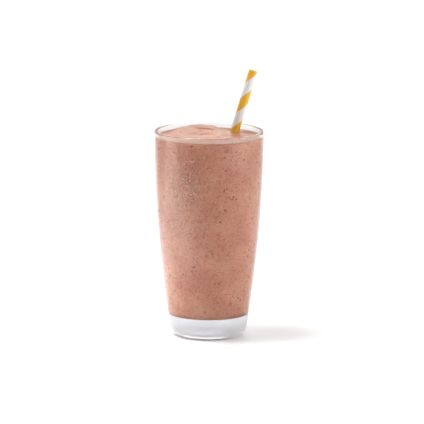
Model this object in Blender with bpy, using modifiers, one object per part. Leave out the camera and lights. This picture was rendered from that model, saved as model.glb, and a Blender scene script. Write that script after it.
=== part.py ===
"""A pink fruit smoothie in a heavy-based glass tumbler, with a striped paper straw.

Metres, +Z up. The origin is on the table under the middle of the glass, and the front faces -Y.
"""

import math

import bpy
from mathutils import Matrix, Vector, noise

# The tumbler
GLASS_HEIGHT = 0.160
RIM_RADIUS = 0.042
FOOT_RADIUS = 0.02885
SIDE_CURVE = 1.95
WALL_AT_RIM = 0.0022
WALL_AT_FLOOR = 0.0030
BASE_THICKNESS = 0.0166
FOOT_ROUNDING = 0.0085
FLOOR_ROUNDING = 0.0050
PUNT_RADIUS = 0.0175
PUNT_DEPTH = 0.0008

# The drink: its level away from the wall, and how it climbs the wall
DRINK_LEVEL = GLASS_HEIGHT - 0.0050
WALL_CLIMB = 0.0009
WALL_CLIMB_WIDTH = 0.0016

# The poured mound that stands behind the middle of the drink, and the swirl round it
MOUND_CENTRE = Vector((-0.0070, 0.024))
MOUND_HALF_WIDTH = 0.0160
MOUND_HALF_FRONT = 0.0190
MOUND_HALF_BACK = 0.0115
MOUND_HEIGHT = 0.0047
MOUND_STEEPNESS = 4.6
SWIRL_HEIGHT = 0.00024
SWIRL_SPACING = 0.0115
SWIRL_REACH = 0.026
CREASE_CENTRE = Vector((-0.004, 0.0130))
CREASE_HALF_LENGTH = 0.0095
CREASE_BOW = 22.0
CREASE_WIDTH = 0.0015
CREASE_DEPTH = 0.0011
LUMP_HEIGHT = 0.00018
LUMPS_PER_METRE = 190.0

# The paper straw: it stands on the floor of the glass and leans to the right and back
STRAW_RADIUS = 0.0034
STRAW_WALL = 0.0004
STRAW_LENGTH = 0.1946
STRAW_FOOT = Vector((-0.0220, 0.0023))
STRAW_LEAN_RIGHT = 0.303
STRAW_LEAN_BACK = 0.120

# Clearance between pieces that touch
GAP = 0.0003

# Facets
TURN_STEPS = 64
WALL_STEPS = 12
SURFACE_RINGS = 24
ARC_STEPS = 6
STRAW_SIDES = 32

GLASS_COLOUR = (0.93, 0.97, 0.96, 1.0)
DRINK_COLOUR = (0.56, 0.27, 0.20, 1.0)
STRAW_COLOUR = (0.90, 0.55, 0.10, 1.0)


def clear_scene():
    for obj in list(bpy.data.objects):
        bpy.data.objects.remove(obj, do_unlink=True)


def new_collection(name):
    collection = bpy.data.collections.new(name)
    bpy.context.scene.collection.children.link(collection)
    return collection


def finish_of(name, colour, roughness, transmission=0.0):
    material = bpy.data.materials.new(name)
    material.use_nodes = True
    shader = material.node_tree.nodes["Principled BSDF"]
    shader.inputs["Base Color"].default_value = colour
    shader.inputs["Roughness"].default_value = roughness
    shader.inputs["Metallic"].default_value = 0.0
    shader.inputs["Transmission Weight"].default_value = transmission
    return material


def arc(centre, radius, start, end, steps=ARC_STEPS):
    """Points of an arc in the (radius, height) plane, from one angle to the other, in degrees."""
    points = []
    for i in range(steps + 1):
        angle = math.radians(start + (end - start) * i / steps)
        points.append((centre[0] + radius * math.cos(angle), centre[1] + radius * math.sin(angle)))
    return points


def outer_radius(z):
    """The tumbler's side widens from the foot and is upright at the rim."""
    below = (GLASS_HEIGHT - z) / GLASS_HEIGHT
    return RIM_RADIUS - (RIM_RADIUS - FOOT_RADIUS) * below**SIDE_CURVE


def side_angle(z):
    """How far the side leans out from upright at this height, in degrees."""
    below = (GLASS_HEIGHT - z) / GLASS_HEIGHT
    slope = SIDE_CURVE * (RIM_RADIUS - FOOT_RADIUS) / GLASS_HEIGHT * below ** (SIDE_CURVE - 1)
    return math.degrees(math.atan(slope))


def inner_radius(z):
    """The inside of the wall, which thins towards the rim."""
    up = (z - BASE_THICKNESS) / (GLASS_HEIGHT - BASE_THICKNESS)
    return outer_radius(z) - WALL_AT_FLOOR - (WALL_AT_RIM - WALL_AT_FLOOR) * up


def inside_profile(floor, inset, top, rounding):
    """The glass's inside from its floor corner up to a height, moved in by inset."""
    lean = side_angle(floor + rounding)
    start = floor + rounding * (1 - math.sin(math.radians(lean)))
    corner = inner_radius(start) - inset - rounding * math.cos(math.radians(lean))
    points = arc((corner, floor + rounding), rounding, -90, -lean)
    for i in range(1, WALL_STEPS + 1):
        z = start + (top - start) * i / WALL_STEPS
        points.append((inner_radius(z) - inset, z))
    return points


def glass_profile():
    """From the middle of the inside floor, up and over the rim, down the side and under the foot."""
    bead = WALL_AT_RIM / 2
    bead_height = GLASS_HEIGHT - bead
    points = [(0.0, BASE_THICKNESS)]
    points += inside_profile(BASE_THICKNESS, 0.0, bead_height, FLOOR_ROUNDING)
    points += arc((RIM_RADIUS - bead, bead_height), bead, 180, 0)[1:]
    lean = side_angle(FOOT_ROUNDING)
    foot_start = FOOT_ROUNDING * (1 - math.sin(math.radians(lean)))
    for i in range(1, WALL_STEPS):
        z = bead_height + (foot_start - bead_height) * i / WALL_STEPS
        points.append((outer_radius(z), z))
    foot_centre = outer_radius(foot_start) - FOOT_ROUNDING * math.cos(math.radians(lean))
    points += arc((foot_centre, FOOT_ROUNDING), FOOT_ROUNDING, -lean, -90)
    for i in range(ARC_STEPS):
        share = 1 - i / ARC_STEPS
        points.append((PUNT_RADIUS * share, PUNT_DEPTH * (1 - share**2)))
    points.append((0.0, PUNT_DEPTH))
    return points


def mound_height(x, y):
    """A low plateau of thick drink with soft shoulders, longer towards the front."""
    half_depth = MOUND_HALF_FRONT if y < MOUND_CENTRE.y else MOUND_HALF_BACK
    reach = math.hypot((x - MOUND_CENTRE.x) / MOUND_HALF_WIDTH, (y - MOUND_CENTRE.y) / half_depth)
    return MOUND_HEIGHT / (1 + reach**MOUND_STEEPNESS)


def swirl_height(x, y):
    """The soft spiral that the pouring left round the mound."""
    away = math.hypot(x - MOUND_CENTRE.x, y - MOUND_CENTRE.y)
    turn = math.atan2(y - MOUND_CENTRE.y, x - MOUND_CENTRE.x)
    fade = math.exp(-((away / SWIRL_REACH) ** 2))
    return SWIRL_HEIGHT * fade * math.cos(math.tau * away / SWIRL_SPACING - turn)


def crease_depth(x, y):
    """The line in front of the mound where one fold of drink lies over another."""
    along = (x - CREASE_CENTRE.x) / CREASE_HALF_LENGTH
    line = CREASE_CENTRE.y + CREASE_BOW * (x - CREASE_CENTRE.x) ** 2
    across = (y - line) / CREASE_WIDTH
    return CREASE_DEPTH * math.exp(-(along**4)) * math.exp(-(across**2))


def surface_height(x, y):
    """The top of the drink at a place seen from above."""
    wall_distance = inner_radius(DRINK_LEVEL) - GAP - math.hypot(x, y)
    climb = WALL_CLIMB * math.exp(-max(wall_distance, 0.0) / WALL_CLIMB_WIDTH)
    calm = min(1.0, max(wall_distance, 0.0) / WALL_CLIMB_WIDTH)
    lumps = LUMP_HEIGHT * noise.noise(Vector((x, y, 0.0)) * LUMPS_PER_METRE)
    relief = mound_height(x, y) + swirl_height(x, y) + lumps - crease_depth(x, y)
    return DRINK_LEVEL + climb + calm * relief


def drink_profile():
    """From the middle of the surface out to the wall, down it, and in over the floor."""
    contact = DRINK_LEVEL + WALL_CLIMB
    wall = inside_profile(BASE_THICKNESS + GAP, GAP, contact, FLOOR_ROUNDING)
    brim = wall[-1][0]
    points = []
    for i in range(SURFACE_RINGS):
        points.append((brim * i / SURFACE_RINGS, contact))
    points += reversed(wall)
    points.append((0.0, BASE_THICKNESS + GAP))
    return points


def straw_profile(inner, outer, bottom, top):
    """A tube's wall, from its inner top edge round to the start."""
    return [(inner, bottom), (inner, top), (outer, top), (outer, bottom), (inner, bottom)]


def turned(name, profile, steps, collection):
    """An object made by turning a profile once round the Z axis."""
    points = [(r, 0.0, z) for r, z in profile]
    closed = points[0] == points[-1]
    if closed:
        points.pop()
    edges = [(i, i + 1) for i in range(len(points) - 1)]
    if closed:
        edges.append((len(points) - 1, 0))
    mesh = bpy.data.meshes.new(name)
    mesh.from_pydata(points, edges, [])
    obj = bpy.data.objects.new(name, mesh)
    collection.objects.link(obj)
    turn = obj.modifiers.new("turn", "SCREW")
    turn.axis = "Z"
    turn.steps = steps
    turn.render_steps = steps
    turn.use_merge_vertices = True
    turn.merge_threshold = 0.00001
    turn.use_smooth_shade = True
    return obj


def bake_shape(obj):
    """Replaces an object's mesh by what its modifiers make of it."""
    graph = bpy.context.evaluated_depsgraph_get()
    mesh = bpy.data.meshes.new_from_object(obj.evaluated_get(graph))
    obj.modifiers.clear()
    obj.data = mesh
    return obj


def straw_placement():
    """Stands the straw's lowest edge just over the glass floor and leans it."""
    direction = Vector((STRAW_LEAN_RIGHT, STRAW_LEAN_BACK, 1.0)).normalized()
    edge_drop = STRAW_RADIUS * math.sqrt(1 - direction.z**2)
    foot = Vector((STRAW_FOOT.x, STRAW_FOOT.y, BASE_THICKNESS + GAP + edge_drop))
    return Matrix.Translation(foot) @ direction.to_track_quat("Z", "Y").to_matrix().to_4x4()


def make_glass(collection):
    glass = turned("glass", glass_profile(), TURN_STEPS, collection)
    glass.data.materials.append(finish_of("clear_glass", GLASS_COLOUR, 0.02, transmission=1.0))
    return glass


def make_straw(collection):
    profile = straw_profile(STRAW_RADIUS - STRAW_WALL, STRAW_RADIUS, 0.0, STRAW_LENGTH)
    straw = turned("straw", profile, STRAW_SIDES, collection)
    straw.matrix_world = straw_placement()
    straw.data.materials.append(finish_of("striped_paper", STRAW_COLOUR, 0.6))
    return straw


def make_straw_room(collection):
    """The cutter: the straw's wall with its clearance, longer than the straw at both ends."""
    inner = STRAW_RADIUS - STRAW_WALL - GAP
    profile = straw_profile(inner, STRAW_RADIUS + GAP, -GAP, STRAW_LENGTH + GAP)
    room = turned("straw_room", profile, STRAW_SIDES, collection)
    room.matrix_world = straw_placement()
    room.hide_render = True
    room.display_type = "WIRE"
    return room


def make_drink(collection, straw_room):
    """Turned to the inside of the glass, given its poured surface, and cut round the straw."""
    drink = bake_shape(turned("smoothie", drink_profile(), TURN_STEPS, collection))
    contact = DRINK_LEVEL + WALL_CLIMB
    for vertex in drink.data.vertices:
        if abs(vertex.co.z - contact) < 0.000001:
            vertex.co.z = surface_height(vertex.co.x, vertex.co.y)
    drink.data.materials.append(finish_of("pink_smoothie", DRINK_COLOUR, 0.35))
    cut = drink.modifiers.new("straw_hole", "BOOLEAN")
    cut.operation = "DIFFERENCE"
    cut.solver = "EXACT"
    cut.object = straw_room
    return drink


def main():
    clear_scene()
    parts = new_collection("banana_smoothie")
    cutters = new_collection("cutters")
    make_glass(parts)
    make_straw(parts)
    make_drink(parts, make_straw_room(cutters))


main()
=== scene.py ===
"""The looks of a pink fruit smoothie in a heavy-based glass, with a striped paper straw.

Laid out as an add-on: the sizes and colours are properties, each piece has its operator, and main calls them
in order.
Metres, +Z up, with the origin on the table under the middle of the glass.
"""

import math
import random

import bpy
from mathutils import Euler, Matrix, Quaternion, Vector, noise


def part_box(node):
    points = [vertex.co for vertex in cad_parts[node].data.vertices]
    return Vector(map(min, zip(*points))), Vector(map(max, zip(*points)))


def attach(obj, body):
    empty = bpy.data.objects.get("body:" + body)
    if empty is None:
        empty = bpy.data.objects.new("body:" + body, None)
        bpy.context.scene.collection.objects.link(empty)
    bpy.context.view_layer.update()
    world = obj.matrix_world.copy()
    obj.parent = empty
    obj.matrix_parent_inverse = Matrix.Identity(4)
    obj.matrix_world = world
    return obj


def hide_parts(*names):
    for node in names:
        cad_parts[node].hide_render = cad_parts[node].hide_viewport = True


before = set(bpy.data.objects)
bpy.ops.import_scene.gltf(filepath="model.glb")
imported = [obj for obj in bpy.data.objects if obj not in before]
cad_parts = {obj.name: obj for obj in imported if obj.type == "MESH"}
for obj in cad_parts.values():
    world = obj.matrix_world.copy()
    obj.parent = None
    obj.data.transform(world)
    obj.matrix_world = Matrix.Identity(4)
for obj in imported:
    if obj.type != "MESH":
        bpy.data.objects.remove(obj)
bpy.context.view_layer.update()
GLASS_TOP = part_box("glass")[1]
STRAW_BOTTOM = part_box("straw")[0]

bl_info = {
    "name": "Fruit Smoothie Glass",
    "version": (1, 0, 0),
    "blender": (4, 5, 0),
    "location": "View3D > Sidebar > Smoothie",
    "description": "Builds a tall glass of fruit smoothie with a striped paper straw",
    "category": "Add Mesh",
}

MM = 0.001
TAU = math.tau
SAME_PLACE = 0.000002

# Facets
GLASS_SIDES = 160
DRINK_SIDES = 180
WALL_STEPS = 60
FLOOR_RINGS = 8
PUNT_RINGS = 12
SURFACE_RINGS = 90
UNDERSIDE_RINGS = 6
FLOOR_ARC_STEPS = 14
RIM_ARC_STEPS = 20
FOOT_ARC_STEPS = 16
STRAW_SIDES = 72
STRAW_STEPS_A_TURN = 24
SLEEVE_SIDES = 48

# Patterns in the drink, in repeats for each metre
CLOUDS = 42.0
SPECK_GROUPS = 130.0
PATCHES = 330.0
SPECKS = 480.0
GRAIN = 1150.0

# Soft lights: name, place, target, size and brightness
SOFTBOXES = (
    ("left_softbox", (-1.05, -0.35, 0.45), (0, 0, 0.1), (0.9, 0.8), 1.2),
    ("left_floor_softbox", (-0.56, -0.04, 0.10), (-0.56, -0.04, 0), (0.86, 0.46), 3.1),
    ("right_floor_softbox", (0.60, 0.0, 0.10), (0.60, 0.0, 0), (0.7, 0.5), 0.3),
    ("right_softbox", (1.05, -0.45, 0.45), (0, 0, 0.1), (0.9, 0.8), 5.7),
    ("high_softbox", (-0.60, 0.0, 1.75), (0, 0, 0), (0.7, 0.7), 14.5),
    ("back_softbox", (0.3, 3.3, 2.0), (0.1, 2.4, 0), (3.4, 2.0), 3.4),
)


# Settings

class GlassSettings(bpy.types.PropertyGroup):
    height: bpy.props.FloatProperty(
        name="Height", description="From the table to the rim", default=GLASS_TOP.z, unit="LENGTH")
    rim_radius: bpy.props.FloatProperty(
        name="Rim radius", description="Outer radius at the rim", default=GLASS_TOP.x, unit="LENGTH")
    foot_radius: bpy.props.FloatProperty(
        name="Foot radius", description="Outer radius that the side heads for at the table",
        default=28.85 * MM, unit="LENGTH")
    side_curve: bpy.props.FloatProperty(
        name="Side curve", description="Power of the side's curve, which is upright at the rim", default=1.95)
    wall_at_rim: bpy.props.FloatProperty(
        name="Wall at rim", description="Thickness of the wall at the rim", default=2.2 * MM, unit="LENGTH")
    wall_at_floor: bpy.props.FloatProperty(
        name="Wall at floor", description="Thickness of the wall at the inside floor", default=3.0 * MM,
        unit="LENGTH")
    base: bpy.props.FloatProperty(
        name="Base", description="Thickness of the solid clear base", default=16.6 * MM, unit="LENGTH")
    foot_rounding: bpy.props.FloatProperty(
        name="Foot rounding", description="Radius of the foot's outer edge", default=8.5 * MM, unit="LENGTH")
    floor_rounding: bpy.props.FloatProperty(
        name="Floor rounding", description="Radius of the inside floor's edge", default=5.0 * MM,
        unit="LENGTH")
    punt_radius: bpy.props.FloatProperty(
        name="Punt radius", description="Radius of the shallow dish under the base", default=17.5 * MM,
        unit="LENGTH")
    punt_depth: bpy.props.FloatProperty(
        name="Punt depth", description="Depth of the shallow dish under the base", default=0.8 * MM,
        unit="LENGTH")
    tint: bpy.props.FloatVectorProperty(
        name="Tint", description="Colour of the glass", subtype="COLOR", default=(0.855, 0.87, 0.865))
    base_tint: bpy.props.FloatVectorProperty(
        name="Base tint", description="Colour of the thick, faintly milky base", subtype="COLOR",
        default=(0.77, 0.79, 0.83))
    base_clearness: bpy.props.FloatProperty(
        name="Base clearness", description="Share of the light that passes the milky base", default=0.6,
        subtype="FACTOR")
    base_roughness: bpy.props.FloatProperty(
        name="Base roughness", description="How much the milky base blurs what is seen in it", default=0.26,
        subtype="FACTOR")
    haze: bpy.props.FloatProperty(
        name="Haze", description="Strength of the thin mist on the cold glass", default=0.5, subtype="FACTOR")
    haze_roughness: bpy.props.FloatProperty(
        name="Haze roughness", description="How widely the mist spreads the light", default=0.3,
        subtype="FACTOR")


class DrinkSettings(bpy.types.PropertyGroup):
    below_rim: bpy.props.FloatProperty(
        name="Level below rim", description="How far the calm surface lies below the rim", default=5.0 * MM,
        unit="LENGTH")
    climb: bpy.props.FloatProperty(
        name="Wall climb", description="How far the drink climbs the wall", default=0.9 * MM, unit="LENGTH")
    climb_width: bpy.props.FloatProperty(
        name="Climb width", description="How far from the wall the climb reaches", default=1.6 * MM,
        unit="LENGTH")
    into_wall: bpy.props.FloatProperty(
        name="Into the wall",
        description="How far the drink reaches into the glass, so no air shows between them",
        default=0.1 * MM, unit="LENGTH")
    mound_height: bpy.props.FloatProperty(
        name="Mound height", description="Height of the poured mound", default=4.7 * MM, unit="LENGTH")
    mound_centre: bpy.props.FloatVectorProperty(
        name="Mound centre", description="Middle of the mound, seen from above", size=2, unit="LENGTH",
        default=(-7.0 * MM, 24.0 * MM))
    mound_reach: bpy.props.FloatVectorProperty(
        name="Mound reach", description="Half its width, and its reach to the front and to the back", size=3,
        unit="LENGTH", default=(16.0 * MM, 19.0 * MM, 11.5 * MM))
    crease_centre: bpy.props.FloatVectorProperty(
        name="Crease centre", description="Middle of the fold line in front of the mound", size=2,
        unit="LENGTH", default=(-4.0 * MM, 13.0 * MM))
    crease_depth: bpy.props.FloatProperty(
        name="Crease depth", description="Depth of the fold line", default=1.1 * MM, unit="LENGTH")
    colour: bpy.props.FloatVectorProperty(
        name="Drink", description="Main colour of the drink", subtype="COLOR", default=(0.705, 0.345, 0.215))
    # Painted shade: the open surface's colours are darkened by this share, so the top looks less lit than the
    # drink at the wall.
    surface_painted_shade: bpy.props.FloatProperty(
        name="Surface shade", description="How much darker the open surface is than the drink at the wall",
        default=0.60, subtype="FACTOR")
    patch_colour: bpy.props.FloatVectorProperty(
        name="Fruit patches", description="Colour of the soft fruit patches", subtype="COLOR",
        default=(0.58, 0.16, 0.09))
    fleck_colour: bpy.props.FloatVectorProperty(
        name="Flecks", description="Colour of the dark fruit flecks", subtype="COLOR",
        default=(0.40, 0.075, 0.03))
    flecks: bpy.props.IntProperty(
        name="Flecks", description="How many flecks show at the wall", default=1400)
    surface_flecks: bpy.props.IntProperty(
        name="Surface flecks", description="How many flecks lie in the open surface", default=170)


class StrawSettings(bpy.types.PropertyGroup):
    radius: bpy.props.FloatProperty(
        name="Radius", description="Outer radius of the straw", default=3.4 * MM, unit="LENGTH")
    wall: bpy.props.FloatProperty(
        name="Paper", description="Thickness of the wound paper", default=0.4 * MM, unit="LENGTH")
    length: bpy.props.FloatProperty(
        name="Length", description="Length of the straw", default=194.6 * MM, unit="LENGTH")
    foot: bpy.props.FloatVectorProperty(
        name="Foot", description="Where it stands on the floor of the glass, seen from above", size=2,
        unit="LENGTH", default=(-22.0 * MM, 2.3 * MM))
    lean: bpy.props.FloatVectorProperty(
        name="Lean", description="How far it leans right and back for each metre up", size=2,
        default=(0.303, 0.12))
    pitch: bpy.props.FloatProperty(
        name="Stripe pitch", description="Length of one turn of the stripe", default=24.6 * MM, unit="LENGTH")
    stripe_share: bpy.props.FloatProperty(
        name="Stripe share", description="Share of the pitch that is yellow", default=0.50, subtype="FACTOR")
    stripe_start: bpy.props.FloatProperty(
        name="Stripe start", description="How far above the tip the front of the first stripe would begin",
        default=5.9 * MM, unit="LENGTH")
    seam_depth: bpy.props.FloatProperty(
        name="Seam depth", description="Depth of the seam between two turns of the paper", default=0.07 * MM,
        unit="LENGTH")
    yellow: bpy.props.FloatVectorProperty(
        name="Stripe", description="Colour of the printed stripe", subtype="COLOR",
        default=(0.69, 0.37, 0.028))
    paper: bpy.props.FloatVectorProperty(
        name="Paper", description="Colour of the bare paper", subtype="COLOR", default=(0.65, 0.65, 0.635))


class DropletSettings(bpy.types.PropertyGroup):
    cluster: bpy.props.IntProperty(
        name="Cluster", description="Droplets in the cluster at the front left", default=145)
    scattered: bpy.props.IntProperty(
        name="Scattered", description="Droplets elsewhere on the glass", default=420)
    left_patch: bpy.props.IntProperty(
        name="Left patch", description="Larger droplets half way up the left side", default=40)


class StageSettings(bpy.types.PropertyGroup):
    floor_colour: bpy.props.FloatVectorProperty(
        name="Floor", description="Colour of the floor", subtype="COLOR", default=(0.9, 0.9, 0.9))
    sweep_start: bpy.props.FloatProperty(
        name="Sweep start",
        description="Distance at which the floor begins to turn into the white background",
        default=1.2, unit="LENGTH")
    sweep_end: bpy.props.FloatProperty(
        name="Sweep end", description="Distance at which the floor is as white as the background",
        default=2.2, unit="LENGTH")
    room_front: bpy.props.FloatProperty(
        name="Room in front", description="Brightness of the room on the camera's side", default=0.12)
    room_back: bpy.props.FloatProperty(
        name="Room behind", description="Brightness of the room behind the glass", default=0.50)
    distance: bpy.props.FloatProperty(
        name="Camera distance", description="How far in front of the glass the camera stands", default=2.8,
        unit="LENGTH")
    eye_height: bpy.props.FloatProperty(
        name="Camera height", description="How high the camera stands", default=0.62, unit="LENGTH")
    lens: bpy.props.FloatProperty(
        name="Lens", description="Focal length in millimetres", default=313.2, subtype="DISTANCE_CAMERA")
    pitch: bpy.props.FloatProperty(
        name="Look down", description="How far the camera looks down", default=math.radians(10.60),
        subtype="ANGLE")
    roll: bpy.props.FloatProperty(
        name="Roll", description="How far the camera is tilted sideways", default=math.radians(0.264),
        subtype="ANGLE")
    yaw: bpy.props.FloatProperty(
        name="Yaw", description="How far the camera is turned to the right", default=math.radians(0.052),
        subtype="ANGLE")


SETTINGS = {
    "smoothie_glass": GlassSettings,
    "smoothie_drink": DrinkSettings,
    "smoothie_straw": StrawSettings,
    "smoothie_droplets": DropletSettings,
    "smoothie_stage": StageSettings,
}


# Forms

def arc(centre, radius, start, end, steps):
    """Points of an arc in the (radius, height) plane, from one angle to the other, in degrees."""
    points = []
    for i in range(steps + 1):
        angle = math.radians(start + (end - start) * i / steps)
        points.append((centre[0] + radius * math.cos(angle), centre[1] + radius * math.sin(angle)))
    return points


class GlassForm:
    """The turned shape of the tumbler, from its settings."""

    def __init__(self, s):
        self.s = s

    def outer(self, z):
        below = (self.s.height - z) / self.s.height
        return self.s.rim_radius - (self.s.rim_radius - self.s.foot_radius) * below**self.s.side_curve

    def lean(self, z):
        """How far the side leans out from upright at a height, in degrees."""
        s = self.s
        below = (s.height - z) / s.height
        slope = s.side_curve * (s.rim_radius - s.foot_radius) / s.height * below ** (s.side_curve - 1)
        return math.degrees(math.atan(slope))

    def inner(self, z):
        s = self.s
        up = (z - s.base) / (s.height - s.base)
        return self.outer(z) - s.wall_at_floor - (s.wall_at_rim - s.wall_at_floor) * up

    def inside(self, floor, grow, top):
        """The inside from its floor corner up to a height, moved out by grow."""
        rounding = self.s.floor_rounding
        lean = self.lean(floor + rounding)
        start = floor + rounding * (1 - math.sin(math.radians(lean)))
        corner = self.inner(start) + grow - rounding * math.cos(math.radians(lean))
        points = arc((corner, floor + rounding), rounding, -90, -lean, FLOOR_ARC_STEPS)
        for i in range(1, WALL_STEPS + 1):
            z = start + (top - start) * i / WALL_STEPS
            points.append((self.inner(z) + grow, z))
        return points

    def profile(self):
        """From the middle of the inside floor, up, over the rim, down the side and under the foot."""
        s = self.s
        bead = s.wall_at_rim / 2
        bead_height = s.height - bead
        inside = self.inside(s.base, 0.0, bead_height)
        points = [(inside[0][0] * i / FLOOR_RINGS, s.base) for i in range(FLOOR_RINGS)]
        points += inside
        points += arc((s.rim_radius - bead, bead_height), bead, 180, 0, RIM_ARC_STEPS)[1:]
        lean = self.lean(s.foot_rounding)
        foot_start = s.foot_rounding * (1 - math.sin(math.radians(lean)))
        for i in range(1, WALL_STEPS):
            z = bead_height + (foot_start - bead_height) * i / WALL_STEPS
            points.append((self.outer(z), z))
        foot_centre = self.outer(foot_start) - s.foot_rounding * math.cos(math.radians(lean))
        points += arc((foot_centre, s.foot_rounding), s.foot_rounding, -lean, -90, FOOT_ARC_STEPS)
        for i in range(PUNT_RINGS + 1):
            share = 1 - i / PUNT_RINGS
            points.append((s.punt_radius * share, s.punt_depth * (1 - share**2)))
        return points


class DrinkForm:
    """The drink's surface, from its settings: calm, with a mound, a swirl and a fold line."""

    MOUND_STEEPNESS = 4.6
    SWIRL_HEIGHT = 0.24 * MM
    SWIRL_REACH = 26 * MM
    SWIRL_SPACING = 11.5 * MM
    CREASE_BOW = 22.0
    CREASE_WIDTH = 1.1 * MM
    CREASE_HALF_LENGTH = 6.5 * MM
    LUMP_HEIGHT = 0.18 * MM
    LUMPS_PER_METRE = 190.0
    GRIT_HEIGHT = 0.05 * MM
    GRIT_PER_METRE = 620.0

    # The drink climbs a little round the straw
    STRAW_RADIUS = 3.4 * MM
    STRAW_CLIMB = 0.5 * MM
    STRAW_CLIMB_WIDTH = 0.9 * MM

    def __init__(self, s, glass_form):
        self.s = s
        self.glass = glass_form
        self.level = glass_form.s.height - s.below_rim
        self.brim = glass_form.inner(self.level) + s.into_wall

    def mound(self, x, y):
        half_width, front, back = self.s.mound_reach
        cx, cy = self.s.mound_centre
        reach = math.hypot((x - cx) / half_width, (y - cy) / (front if y < cy else back))
        return self.s.mound_height / (1 + reach**self.MOUND_STEEPNESS)

    def swirl(self, x, y):
        cx, cy = self.s.mound_centre
        away = math.hypot(x - cx, y - cy)
        turn = math.atan2(y - cy, x - cx)
        fade = math.exp(-((away / self.SWIRL_REACH) ** 2))
        return self.SWIRL_HEIGHT * fade * math.cos(TAU * away / self.SWIRL_SPACING - turn)

    def crease(self, x, y):
        cx, cy = self.s.crease_centre
        line = cy + self.CREASE_BOW * (x - cx) ** 2
        along = (x - cx) / self.CREASE_HALF_LENGTH
        across = (y - line) / self.CREASE_WIDTH
        return self.s.crease_depth * math.exp(-(along**2)) * math.exp(-(across**2))

    def height(self, x, y, straw_at=None):
        """The height of the surface at a place seen from above."""
        wall_distance = max(self.brim - self.s.into_wall - math.hypot(x, y), 0.0)
        climb = self.s.climb * math.exp(-wall_distance / self.s.climb_width)
        calm = min(1.0, wall_distance / self.s.climb_width)
        lumps = self.LUMP_HEIGHT * noise.noise(Vector((x, y, 0.0)) * self.LUMPS_PER_METRE)
        grit = self.GRIT_HEIGHT * noise.noise(Vector((x, y, 3.0)) * self.GRIT_PER_METRE)
        if straw_at:
            away = max(math.hypot(x - straw_at[0], y - straw_at[1]) - self.STRAW_RADIUS, 0.0)
            climb += self.STRAW_CLIMB * math.exp(-away / self.STRAW_CLIMB_WIDTH)
        relief = self.mound(x, y) + self.swirl(x, y) + lumps + grit - self.crease(x, y)
        return self.level + climb + calm * relief


def straw_matrix(straw):
    """Where the straw's own frame stands: its origin in the middle of its lower end, +Z along it."""
    direction = Vector((straw.lean[0], straw.lean[1], 1.0)).normalized()
    edge_drop = straw.radius * math.sqrt(1 - direction.z**2)
    foot = Vector((straw.foot[0], straw.foot[1], STRAW_BOTTOM.z + edge_drop))
    return Matrix.Translation(foot) @ direction.to_track_quat("Z", "Y").to_matrix().to_4x4()


def straw_crossing(straw, level):
    """Where the straw's middle line crosses a level, seen from above."""
    matrix = straw_matrix(straw)
    direction = matrix.to_3x3() @ Vector((0, 0, 1))
    foot = matrix.translation
    return (foot + direction * ((level - foot.z) / direction.z)).to_2d()


# Modelling by hand

def deselect_all():
    if bpy.context.object and bpy.context.object.mode != "OBJECT":
        bpy.ops.object.mode_set(mode="OBJECT")
    bpy.ops.object.select_all(action="DESELECT")


def named(name):
    """Names the object just added and its mesh."""
    obj = bpy.context.object
    obj.name = name
    obj.data.name = name
    return obj


def edit(kind=None):
    bpy.ops.object.mode_set(mode="EDIT")
    if kind:
        bpy.ops.mesh.select_mode(type=kind)
    bpy.ops.mesh.select_all(action="SELECT")


def done():
    bpy.ops.object.mode_set(mode="OBJECT")


def turn_profile(name, profile, steps):
    """Draws a profile by extruding one corner from point to point, then spins it round the Z axis."""
    deselect_all()
    points = [Vector((r, 0.0, z)) for r, z in profile]
    bpy.ops.mesh.primitive_plane_add(size=MM, location=points[0])
    obj = named(name)
    edit("VERT")
    bpy.ops.mesh.merge(type="CENTER")
    for last, point in zip(points, points[1:]):
        bpy.ops.mesh.extrude_region_move(TRANSFORM_OT_translate={"value": point - last})
    bpy.ops.mesh.select_all(action="SELECT")
    bpy.ops.mesh.spin(steps=steps, angle=TAU, center=(0, 0, 0), axis=(0, 0, 1))
    bpy.ops.mesh.select_all(action="SELECT")
    bpy.ops.mesh.remove_doubles(threshold=SAME_PLACE)
    bpy.ops.mesh.normals_make_consistent(inside=False)
    done()
    bpy.ops.object.transform_apply(location=True, rotation=True, scale=True)
    bpy.ops.object.shade_smooth()
    return obj


def apply_modifier(obj, kind, **settings):
    bpy.context.view_layer.objects.active = obj
    modifier = obj.modifiers.new(kind.lower(), kind)
    for key, value in settings.items():
        setattr(modifier, key, value)
    bpy.ops.object.modifier_apply(modifier=modifier.name)


def joined_mesh(name, vertices, faces):
    """One mesh from arrays, for many small things."""
    mesh = bpy.data.meshes.new(name)
    mesh.from_pydata(vertices, [], faces)
    mesh.update()
    mesh.shade_smooth()
    obj = bpy.data.objects.new(name, mesh)
    bpy.context.scene.collection.objects.link(obj)
    return obj


def pebble(rings, sides):
    """Unit corners and faces of a small round body."""
    corners = [Vector((0, 0, 1))]
    for i in range(1, rings):
        polar = math.pi * i / rings
        for j in range(sides):
            turn = TAU * j / sides
            corners.append(Vector((math.sin(polar) * math.cos(turn), math.sin(polar) * math.sin(turn),
                                   math.cos(polar))))
    corners.append(Vector((0, 0, -1)))
    faces = [(0, 1 + j, 1 + (j + 1) % sides) for j in range(sides)]
    for i in range(rings - 2):
        a, b = 1 + i * sides, 1 + (i + 1) * sides
        faces += [(a + j, b + j, b + (j + 1) % sides, a + (j + 1) % sides) for j in range(sides)]
    last = len(corners) - 1
    a = 1 + (rings - 2) * sides
    faces += [(a + j, last, a + (j + 1) % sides) for j in range(sides)]
    return corners, faces


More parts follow.
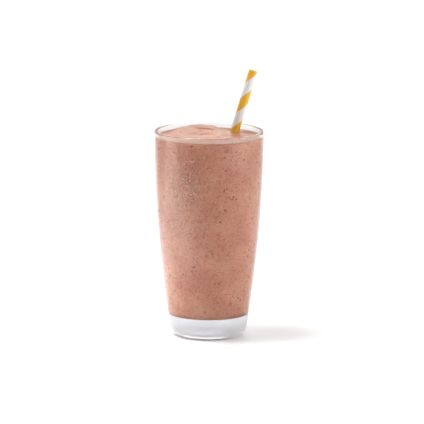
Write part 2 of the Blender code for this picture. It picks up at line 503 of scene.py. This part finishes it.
def scatter(name, shape, places):
    """One mesh of many copies: places are (position, axes matrix, size in x, y and z, wobble)."""
    corners, faces = shape
    vertices, all_faces = [], []
    for index, (position, axes, size, wobble) in enumerate(places):
        start = len(vertices)
        for corner in corners:
            bump = 1 + wobble * noise.noise(corner * 1.7 + Vector((index * 3.1, 0, 0)))
            local = Vector((corner.x * size[0], corner.y * size[1], corner.z * size[2])) * bump
            vertices.append(position + axes @ local)
        all_faces += [tuple(start + i for i in face) for face in faces]
    return joined_mesh(name, vertices, all_faces)


# Materials

def add_node(tree, kind, inputs=None, **settings):
    node = tree.nodes.new(kind)
    for key, value in settings.items():
        setattr(node, key, value)
    for key, value in (inputs or {}).items():
        if isinstance(value, bpy.types.NodeSocket):
            tree.links.new(value, node.inputs[key])
        else:
            node.inputs[key].default_value = value
    return node


def new_material(name, **sockets):
    """A Principled material with its plain values set on the shader's own sockets."""
    material = bpy.data.materials.new(name)
    material.use_nodes = True
    shader = material.node_tree.nodes["Principled BSDF"]
    for key, value in sockets.items():
        shader.inputs[key.replace("_", " ").title().replace("Ior", "IOR")].default_value = value
    return material, material.node_tree, shader


def rgba(colour, scale=1.0):
    return (colour[0] * scale, colour[1] * scale, colour[2] * scale, 1.0)


def shaded(colour, shares, shade):
    """A colour with a share of each channel kept, darkened by shade, which paints shade on the open surface
    of the drink.
    """
    return tuple(value * share * shade for value, share in zip(colour, shares)) + (1.0,)


def noise_node(tree, scale, detail=2.0, roughness=0.5, distortion=0.0, offset=(0, 0, 0)):
    place = add_node(tree, "ShaderNodeTexCoord")
    mapping = add_node(tree, "ShaderNodeMapping", {"Vector": place.outputs["Object"], "Location": offset})
    return add_node(tree, "ShaderNodeTexNoise", {
        "Vector": mapping.outputs["Vector"], "Scale": scale, "Detail": detail, "Roughness": roughness,
        "Distortion": distortion})


def remap(tree, value, low, high, to_low=0.0, to_high=1.0):
    return add_node(tree, "ShaderNodeMapRange", {
        "Value": value, "From Min": low, "From Max": high, "To Min": to_low, "To Max": to_high},
        interpolation_type="SMOOTHSTEP").outputs["Result"]


def mix_colour(tree, factor, a, b):
    node = add_node(tree, "ShaderNodeMix", data_type="RGBA")
    colours = [s for s in node.inputs if s.type == "RGBA"]
    for socket, value in zip([node.inputs[0], *colours], (factor, a, b)):
        if isinstance(value, bpy.types.NodeSocket):
            tree.links.new(value, socket)
        else:
            socket.default_value = value
    return next(s for s in node.outputs if s.type == "RGBA")


def glass_material(s, name, tint, clearness, roughness):
    """Pressed glass with the faintest waviness and a thin mist, clear or slightly milky."""
    material, tree, shader = new_material(
        name, base_color=rgba(tint), roughness=roughness, ior=1.5, transmission_weight=clearness,
        sheen_weight=s.haze, sheen_roughness=s.haze_roughness)
    wave = noise_node(tree, 55.0, detail=1.0)
    bump = add_node(tree, "ShaderNodeBump", {
        "Height": wave.outputs["Fac"], "Strength": 0.02, "Distance": 0.0006})
    tree.links.new(bump.outputs["Normal"], shader.inputs["Normal"])
    return material


def drink_material(s, name, shade, specular, roughness, bump_strength, ior=1.5):
    """Blended fruit: a pale base, soft reddish patches, fine grain and tiny dark specks, all darkened by
    shade, which is painted shade where it is below one.
    """
    material, tree, shader = new_material(name, roughness=roughness, ior=ior)
    shader.inputs["Specular IOR Level"].default_value = specular
    cloud = noise_node(tree, CLOUDS, detail=2.0)
    blush = mix_colour(tree, remap(tree, cloud.outputs["Fac"], 0.36, 0.64), rgba(s.colour, 1.07 * shade),
                       shaded(s.colour, (0.95, 0.83, 0.82), shade))
    patches = noise_node(tree, PATCHES, detail=3.0, roughness=0.6, distortion=0.3)
    patched = mix_colour(tree, remap(tree, patches.outputs["Fac"], 0.50, 0.72, 0.0, 0.75), blush,
                         rgba(s.patch_colour, shade))
    grain = noise_node(tree, GRAIN, detail=1.0, roughness=0.6, offset=(0.3, 0.1, 0.2))
    grained = mix_colour(tree, remap(tree, grain.outputs["Fac"], 0.52, 0.72, 0.0, 0.45), patched,
                         rgba(s.colour, 1.40 * shade))
    dimmed = mix_colour(tree, remap(tree, grain.outputs["Fac"], 0.30, 0.48, 0.38, 0.0), grained,
                        shaded(s.colour, (0.76, 0.5, 0.5), shade))
    place = add_node(tree, "ShaderNodeTexCoord")
    cells = add_node(tree, "ShaderNodeTexVoronoi", {
        "Vector": place.outputs["Object"], "Scale": SPECKS, "Randomness": 1.0})
    rare = noise_node(tree, SPECK_GROUPS, detail=1.0, offset=(0.7, 0.4, 0.1))
    speck = add_node(tree, "ShaderNodeMath", {
        0: remap(tree, cells.outputs["Distance"], 0.20, 0.34, 1.0, 0.0),
        1: remap(tree, rare.outputs["Fac"], 0.44, 0.64, 0.0, 0.7)}, operation="MULTIPLY")
    specked = mix_colour(tree, speck.outputs["Value"], dimmed, rgba(s.patch_colour, 0.66 * shade))
    tree.links.new(specked, shader.inputs["Base Color"])
    bump = add_node(tree, "ShaderNodeBump", {
        "Height": grain.outputs["Fac"], "Strength": bump_strength, "Distance": 0.0002})
    tree.links.new(bump.outputs["Normal"], shader.inputs["Normal"])
    return material


def fleck_material(s):
    """Dark fruit skin and seed fragments, some redder than others."""
    material, tree, shader = new_material("fruit_flecks", roughness=0.5)
    shader.inputs["Specular IOR Level"].default_value = 0.1
    tone = noise_node(tree, 120.0, detail=1.0)
    colour = mix_colour(tree, remap(tree, tone.outputs["Fac"], 0.35, 0.65), rgba(s.fleck_colour),
                        rgba(s.patch_colour))
    tree.links.new(colour, shader.inputs["Base Color"])
    return material


def paper_material(name, colour, fibre):
    """Wound paper with short fibres and a soft tooth."""
    material, tree, shader = new_material(name, roughness=0.55)
    shader.inputs["Specular IOR Level"].default_value = 0.3
    fibres = noise_node(tree, 2200.0, detail=3.0, roughness=0.7, distortion=0.8)
    mottled = mix_colour(tree, remap(tree, fibres.outputs["Fac"], 0.3, 0.7), rgba(colour, 1 - fibre),
                         rgba(colour))
    tree.links.new(mottled, shader.inputs["Base Color"])
    bump = add_node(tree, "ShaderNodeBump", {
        "Height": fibres.outputs["Fac"], "Strength": 0.25, "Distance": 0.0001})
    tree.links.new(bump.outputs["Normal"], shader.inputs["Normal"])
    return material


def water_material():
    material, tree, shader = new_material(
        "condensed_water", base_color=(1, 1, 1, 1), roughness=0.0, ior=1.33, transmission_weight=1.0)
    ripple = noise_node(tree, 900.0, detail=1.0)
    bump = add_node(tree, "ShaderNodeBump", {
        "Height": ripple.outputs["Fac"], "Strength": 0.02, "Distance": 0.0001})
    tree.links.new(bump.outputs["Normal"], shader.inputs["Normal"])
    return material


# Pieces

class SMOOTHIE_OT_glass(bpy.types.Operator):
    """Turns the tumbler in clear glass"""
    bl_idname = "smoothie.glass"
    bl_label = "Glass"

    def execute(self, context):
        settings = context.scene.smoothie_glass
        tumbler = turn_profile("glass_tumbler", GlassForm(settings).profile(), GLASS_SIDES)
        tumbler.data.materials.append(glass_material(settings, "clear_glass", settings.tint, 1.0, 0.0))
        tumbler.data.materials.append(glass_material(
            settings, "milky_base", settings.base_tint, settings.base_clearness, settings.base_roughness))
        for face in tumbler.data.polygons:
            face.material_index = int(face.center.z < settings.base)
        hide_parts("glass")
        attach(tumbler, "root")
        return {"FINISHED"}


class SMOOTHIE_OT_drink(bpy.types.Operator):
    """Fills the glass with the drink, shapes its poured surface and cuts it round the straw"""
    bl_idname = "smoothie.drink"
    bl_label = "Drink"

    def execute(self, context):
        scene = context.scene
        form = DrinkForm(scene.smoothie_drink, GlassForm(scene.smoothie_glass))
        drink = self.fill(form, scene.smoothie_glass)
        crossing = straw_crossing(scene.smoothie_straw, form.level)
        contact = form.level + form.s.climb
        for vertex in drink.data.vertices:
            if abs(vertex.co.z - contact) < SAME_PLACE:
                vertex.co.z = form.height(vertex.co.x, vertex.co.y, crossing)
        self.cut_round_straw(drink, scene.smoothie_straw)
        s = form.s
        drink.data.materials.append(drink_material(
            s, "drink_behind_glass", shade=1.0, specular=0.0, roughness=0.6, bump_strength=0.1))
        # The open surface is a darker copy of the drink, with painted shade.
        drink.data.materials.append(drink_material(
            s, "drink_surface_painted_shade", shade=s.surface_painted_shade, specular=0.15, roughness=0.34, bump_strength=0.4))
        drink.data.materials.append(drink_material(
            s, "drink_on_floor", shade=1.0, specular=0.5, roughness=0.05, bump_strength=0.0, ior=2.4))
        for face in drink.data.polygons:
            on_top = face.normal.z > 0.5 and face.center.z > form.level - 2 * MM
            on_floor = face.normal.z < -0.5 and face.center.z < scene.smoothie_glass.base
            face.material_index = 1 if on_top else 2 if on_floor else 0
        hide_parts("smoothie")
        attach(drink, "root")
        return {"FINISHED"}

    def fill(self, form, glass):
        contact = form.level + form.s.climb
        wall = form.glass.inside(glass.base - form.s.into_wall, form.s.into_wall, contact)
        brim = wall[-1][0]
        edge, bottom = wall[0]
        profile = [(brim * i / SURFACE_RINGS, contact) for i in range(SURFACE_RINGS)]
        profile += reversed(wall)
        profile += [(edge * (1 - i / UNDERSIDE_RINGS), bottom) for i in range(1, UNDERSIDE_RINGS + 1)]
        return turn_profile("smoothie_drink", profile, DRINK_SIDES)

    def cut_round_straw(self, drink, straw):
        """Cuts a sleeve of room for the straw's paper and leaves the drink inside the straw."""
        gap = 0.08 * MM
        low, high = -gap, straw.length + gap
        inner, outer = straw.radius - straw.wall - gap, straw.radius + gap
        profile = [(outer, high), (outer, low), (inner, low), (inner, high), (outer, high)]
        sleeve = turn_profile("sleeve", profile, SLEEVE_SIDES)
        sleeve.matrix_world = straw_matrix(straw)
        apply_modifier(drink, "BOOLEAN", operation="DIFFERENCE", solver="EXACT", object=sleeve)
        bpy.data.objects.remove(sleeve)


class SMOOTHIE_OT_flecks(bpy.types.Operator):
    """Sets the dark fruit flecks into the drink at the wall and on its surface"""
    bl_idname = "smoothie.flecks"
    bl_label = "Fruit flecks"

    # Half widths and half thickness in millimetres, and how lumpy they are
    HALF_WIDTHS = (0.22, 0.26, 0.32, 0.40, 0.55, 0.85)
    HALF_THICKNESS = 0.20
    WOBBLE = 0.8

    # In millimetres: how deep their middles lie, and how far those in the surface keep from its edges
    DEPTH_AT_WALL = 0.05
    DEPTH_IN_SURFACE = 0.06
    CLEAR_OF_WALL = 2
    CLEAR_OF_STRAW = 4.5

    # Groups: their share of the flecks, and their places in degrees round the glass and millimetres up
    GROUPED = 0.12
    GROUP_TURNS = (-112, -62, 20, 150)
    GROUP_TURN_SPREAD = 7
    GROUP_HEIGHT = 124
    GROUP_HEIGHT_SPREAD = 10

    def execute(self, context):
        scene = context.scene
        form = DrinkForm(scene.smoothie_drink, GlassForm(scene.smoothie_glass))
        draw = random.Random(7)
        places = [self.at_wall(form, draw) for _ in range(form.s.flecks)]
        crossing = straw_crossing(scene.smoothie_straw, form.level)
        while len(places) < form.s.flecks + form.s.surface_flecks:
            place = self.on_surface(form, draw, crossing)
            if place:
                places.append(place)
        flecks = scatter("fruit_flecks", pebble(4, 7), places)
        flecks.data.materials.append(fleck_material(form.s))
        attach(flecks, "root")
        return {"FINISHED"}

    def size(self, draw):
        half = draw.choice(self.HALF_WIDTHS) * MM * draw.uniform(0.8, 1.15)
        return half * draw.uniform(0.9, 1.6), half, self.HALF_THICKNESS * MM

    def at_wall(self, form, draw):
        low, high = form.glass.s.base + form.glass.s.floor_rounding, form.level - 0.5 * MM
        while True:
            z = draw.uniform(low, high)
            if draw.random() < form.glass.inner(z) / form.brim:
                break
        turn = draw.uniform(0, TAU)
        if draw.random() < self.GROUPED:
            z = min(draw.gauss(self.GROUP_HEIGHT, self.GROUP_HEIGHT_SPREAD) * MM, high)
            turn = math.radians(draw.gauss(draw.choice(self.GROUP_TURNS), self.GROUP_TURN_SPREAD))
        outward = Vector((math.cos(turn), math.sin(turn), 0))
        normal = (outward - Vector((0, 0, math.tan(math.radians(form.glass.lean(z)))))).normalized()
        position = outward * (form.glass.inner(z) + form.s.into_wall) + Vector((0, 0, z))
        axes = (normal.to_track_quat("Z", "Y") @ Quaternion((0, 0, 1), draw.uniform(0, TAU))).to_matrix()
        return position - normal * self.DEPTH_AT_WALL * MM, axes, self.size(draw), self.WOBBLE

    def on_surface(self, form, draw, crossing):
        x, y = draw.uniform(-form.brim, form.brim), draw.uniform(-form.brim, form.brim)
        near_wall = math.hypot(x, y) > form.brim - self.CLEAR_OF_WALL * MM
        if near_wall or (Vector((x, y)) - crossing).length < self.CLEAR_OF_STRAW * MM:
            return None
        axes = Quaternion((0, 0, 1), draw.uniform(0, TAU)).to_matrix()
        position = Vector((x, y, form.height(x, y) - self.DEPTH_IN_SURFACE * MM))
        return position, axes, self.size(draw), self.WOBBLE


class SMOOTHIE_OT_straw(bpy.types.Operator):
    """Winds the striped paper straw"""
    bl_idname = "smoothie.straw"
    bl_label = "Paper straw"

    def execute(self, context):
        s = context.scene.smoothie_straw
        matrix = straw_matrix(s)
        front = matrix.to_3x3().inverted() @ Vector((0, -1, 0))
        start = math.atan2(front.y, front.x) - TAU * s.stripe_start / s.pitch
        straw = self.wind(s, start)
        straw.data.materials.append(paper_material("yellow_stripe", s.yellow, 0.10))
        straw.data.materials.append(paper_material("white_paper", s.paper, 0.05))
        for face in straw.data.polygons:
            share = self.share_of_turn(s, start, face.center)
            face.material_index = int(share > s.stripe_share)
        for vertex in straw.data.vertices:
            share = self.share_of_turn(s, start, vertex.co)
            seam = min(abs(share - s.stripe_share), 1 - abs(share - s.stripe_share))
            if seam < 0.01:
                vertex.co.xy *= 1 - s.seam_depth / s.radius
        apply_modifier(straw, "SOLIDIFY", thickness=s.wall, offset=-1.0, use_even_offset=True)
        straw.matrix_world = matrix
        deselect_all()
        straw.select_set(True)
        bpy.context.view_layer.objects.active = straw
        bpy.ops.object.transform_apply(location=True, rotation=True, scale=True)
        bpy.ops.object.shade_smooth_by_angle(angle=math.radians(40))
        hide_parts("straw")
        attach(straw, "root")
        return {"FINISHED"}

    def wind(self, s, start):
        """The outer skin of the tube, upright, with its edges running along the stripes."""
        deselect_all()
        bpy.ops.mesh.primitive_circle_add(
            vertices=STRAW_SIDES, radius=s.radius, location=(0, 0, 0),
            rotation=(0, 0, start - TAU * s.length / s.pitch))
        straw = named("paper_straw")
        bpy.ops.object.transform_apply(location=True, rotation=True, scale=True)
        turns = math.ceil(s.length / s.pitch) + 1
        apply_modifier(straw, "SCREW", axis="Z", angle=TAU, screw_offset=s.pitch, iterations=turns,
                       steps=STRAW_STEPS_A_TURN, render_steps=STRAW_STEPS_A_TURN, use_merge_vertices=False,
                       use_smooth_shade=True)
        edit("VERT")
        bpy.ops.mesh.bisect(plane_co=(0, 0, s.length), plane_no=(0, 0, 1), clear_outer=True)
        bpy.ops.mesh.select_all(action="SELECT")
        bpy.ops.mesh.normals_make_consistent(inside=False)
        done()
        face = straw.data.polygons[0]
        if face.normal.dot(Vector((face.center.x, face.center.y, 0))) < 0:
            edit("FACE")
            bpy.ops.mesh.flip_normals()
            done()
        return straw

    def share_of_turn(self, s, start, place):
        """How far round the spiral a place lies from the stripe's first edge, from 0 to 1."""
        turn = math.atan2(place.y, place.x) - TAU * (place.z - s.length) / s.pitch
        return ((turn - start) / TAU) % 1.0


class SMOOTHIE_OT_droplets(bpy.types.Operator):
    """Beads the outside of the cold glass with condensed water"""
    bl_idname = "smoothie.droplets"
    bl_label = "Condensation droplets"

    # Where they are in degrees round the glass and millimetres up, and their half widths in millimetres
    FRONT = -90
    LEFT = 180
    CLUSTER_LEFT_OF_FRONT = 23
    CLUSTER_HEIGHT = 125
    CLUSTER_SPREAD = 8
    CLUSTER_TOP = 142
    CLUSTER_HALF_WIDTHS = (0.32, 0.74)
    PATCH_SPREAD = 14
    PATCH_HEIGHTS = (83, 99)
    PATCH_HALF_WIDTHS = (0.4, 0.9)
    SCATTER_HEIGHTS = (30, 137)
    SCATTER_HALF_WIDTHS = (0.2, 0.5)

    # A droplet's height as a share of its half width, and how uneven it is
    HEIGHT_SHARE = 0.42
    WOBBLE = 0.15

    def execute(self, context):
        scene = context.scene
        s = scene.smoothie_droplets
        form = GlassForm(scene.smoothie_glass)
        draw = random.Random(11)
        places = []
        for _ in range(s.cluster):
            turn = math.radians(self.FRONT - draw.gauss(self.CLUSTER_LEFT_OF_FRONT, self.CLUSTER_SPREAD))
            z = min(self.CLUSTER_HEIGHT + draw.gauss(0, self.CLUSTER_SPREAD), self.CLUSTER_TOP) * MM
            places.append(self.bead(form, draw, turn, z, draw.uniform(*self.CLUSTER_HALF_WIDTHS) * MM))
        for _ in range(s.left_patch):
            turn = math.radians(self.LEFT + draw.gauss(0, self.PATCH_SPREAD))
            z = draw.uniform(*self.PATCH_HEIGHTS) * MM
            places.append(self.bead(form, draw, turn, z, draw.uniform(*self.PATCH_HALF_WIDTHS) * MM))
        for _ in range(s.scattered):
            turn = draw.uniform(0, TAU)
            z = draw.uniform(*self.SCATTER_HEIGHTS) * MM
            places.append(self.bead(form, draw, turn, z, draw.uniform(*self.SCATTER_HALF_WIDTHS) * MM))
        beads = scatter("condensation_droplets", self.cap(), places)
        beads.data.materials.append(water_material())
        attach(beads, "root")
        return {"FINISHED"}

    def cap(self):
        """A flat-bottomed bead of unit size."""
        corners, faces = pebble(8, 12)
        return [Vector((corner.x, corner.y, max(corner.z, 0.0))) for corner in corners], faces

    def bead(self, form, draw, turn, z, half):
        outward = Vector((math.cos(turn), math.sin(turn), 0))
        normal = (outward - Vector((0, 0, math.tan(math.radians(form.lean(z)))))).normalized()
        position = outward * (form.outer(z) + 0.01 * MM) + Vector((0, 0, z))
        axes = normal.to_track_quat("Z", "Y").to_matrix()
        size = (half * draw.uniform(0.85, 1.1), half * draw.uniform(0.9, 1.2), half * self.HEIGHT_SHARE)
        return position, axes, size, self.WOBBLE


class SMOOTHIE_OT_stage(bpy.types.Operator):
    """Sets the pale floor, the soft lights and the camera"""
    bl_idname = "smoothie.stage"
    bl_label = "Stage"

    def execute(self, context):
        s = context.scene.smoothie_stage
        self.floor(s)
        self.surroundings(context.scene, s)
        for name, place, target, size, radiance in SOFTBOXES:
            self.softbox(name, place, target, size, radiance)
        self.camera(context.scene, s)
        context.scene.view_settings.view_transform = "Standard"
        return {"FINISHED"}

    def floor(self, s):
        deselect_all()
        bpy.ops.mesh.primitive_plane_add(size=14.0, location=(0, 0, 0))
        ground = named("floor")
        edit("FACE")
        bpy.ops.mesh.subdivide(number_cuts=3)
        done()
        material, tree, shader = new_material("white_sweep", base_color=rgba(s.floor_colour), roughness=0.6)
        shader.inputs["Specular IOR Level"].default_value = 0.15
        place = add_node(tree, "ShaderNodeTexCoord")
        away = add_node(tree, "ShaderNodeVectorMath", {0: place.outputs["Object"]}, operation="LENGTH")
        glow = remap(tree, away.outputs["Value"], s.sweep_start, s.sweep_end, 0.0, 1.0)
        tree.links.new(glow, shader.inputs["Emission Strength"])
        shader.inputs["Emission Color"].default_value = (1.0, 1.0, 1.0, 1.0)
        ground.data.materials.append(material)

    def surroundings(self, scene, s):
        """A room that is white behind the glass and darker in front, which draws the glass's edges."""
        world = bpy.data.worlds.new("studio_room")
        scene.world = world
        world.use_nodes = True
        tree = world.node_tree
        place = add_node(tree, "ShaderNodeTexCoord")
        axes = add_node(tree, "ShaderNodeSeparateXYZ", {"Vector": place.outputs["Generated"]})
        brightness = remap(tree, axes.outputs["Y"], -0.5, 0.7, s.room_front, s.room_back)
        seen = add_node(tree, "ShaderNodeLightPath").outputs["Is Camera Ray"]
        strength = add_node(tree, "ShaderNodeMath", {0: brightness, 1: seen}, operation="MAXIMUM")
        tree.links.new(strength.outputs["Value"], tree.nodes["Background"].inputs["Strength"])
        tree.nodes["Background"].inputs["Color"].default_value = (1.0, 1.0, 1.0, 1.0)

    def softbox(self, name, place, target, size, radiance):
        """A soft rectangular light, which the camera doesn't see."""
        light = bpy.data.lights.new(name, "AREA")
        light.shape = "RECTANGLE"
        light.size, light.size_y = size
        light.energy = radiance * math.pi * size[0] * size[1]
        lamp = bpy.data.objects.new(name, light)
        lamp.location = place
        lamp.rotation_euler = (Vector(target) - Vector(place)).to_track_quat("-Z", "Y").to_euler()
        lamp.visible_camera = False
        bpy.context.scene.collection.objects.link(lamp)

    def camera(self, scene, s):
        data = bpy.data.cameras.new("camera")
        data.lens = s.lens
        data.sensor_width = 36.0
        data.clip_end = 60.0
        camera = bpy.data.objects.new("camera", data)
        look = Euler((math.pi / 2 - s.pitch, 0.0, -s.yaw)).to_quaternion()
        camera.rotation_mode = "QUATERNION"
        camera.rotation_quaternion = look @ Quaternion((0, 0, 1), s.roll)
        camera.location = (0.0, -s.distance, s.eye_height)
        scene.collection.objects.link(camera)
        scene.camera = camera


class SMOOTHIE_PT_panel(bpy.types.Panel):
    """Lists the steps and their settings"""
    bl_idname = "SMOOTHIE_PT_panel"
    bl_label = "Fruit smoothie"
    bl_space_type = "VIEW_3D"
    bl_region_type = "UI"
    bl_category = "Smoothie"

    def draw(self, context):
        for operator in OPERATORS:
            self.layout.operator(operator.bl_idname)
        for name, settings in SETTINGS.items():
            box = self.layout.box()
            box.label(text=settings.__name__)
            for key in settings.__annotations__:
                box.prop(getattr(context.scene, name), key)


OPERATORS = (
    SMOOTHIE_OT_stage,
    SMOOTHIE_OT_glass,
    SMOOTHIE_OT_drink,
    SMOOTHIE_OT_flecks,
    SMOOTHIE_OT_straw,
    SMOOTHIE_OT_droplets,
)


def register():
    for settings in SETTINGS.values():
        bpy.utils.register_class(settings)
    for name, settings in SETTINGS.items():
        setattr(bpy.types.Scene, name, bpy.props.PointerProperty(type=settings))
    for operator in OPERATORS:
        bpy.utils.register_class(operator)
    bpy.utils.register_class(SMOOTHIE_PT_panel)


def unregister():
    bpy.utils.unregister_class(SMOOTHIE_PT_panel)
    for operator in reversed(OPERATORS):
        bpy.utils.unregister_class(operator)
    for name in SETTINGS:
        delattr(bpy.types.Scene, name)
    for settings in reversed(SETTINGS.values()):
        bpy.utils.unregister_class(settings)


def main():
    register()
    for operator in OPERATORS:
        group, name = operator.bl_idname.split(".")
        getattr(getattr(bpy.ops, group), name)()


if __name__ == "__main__":
    main()
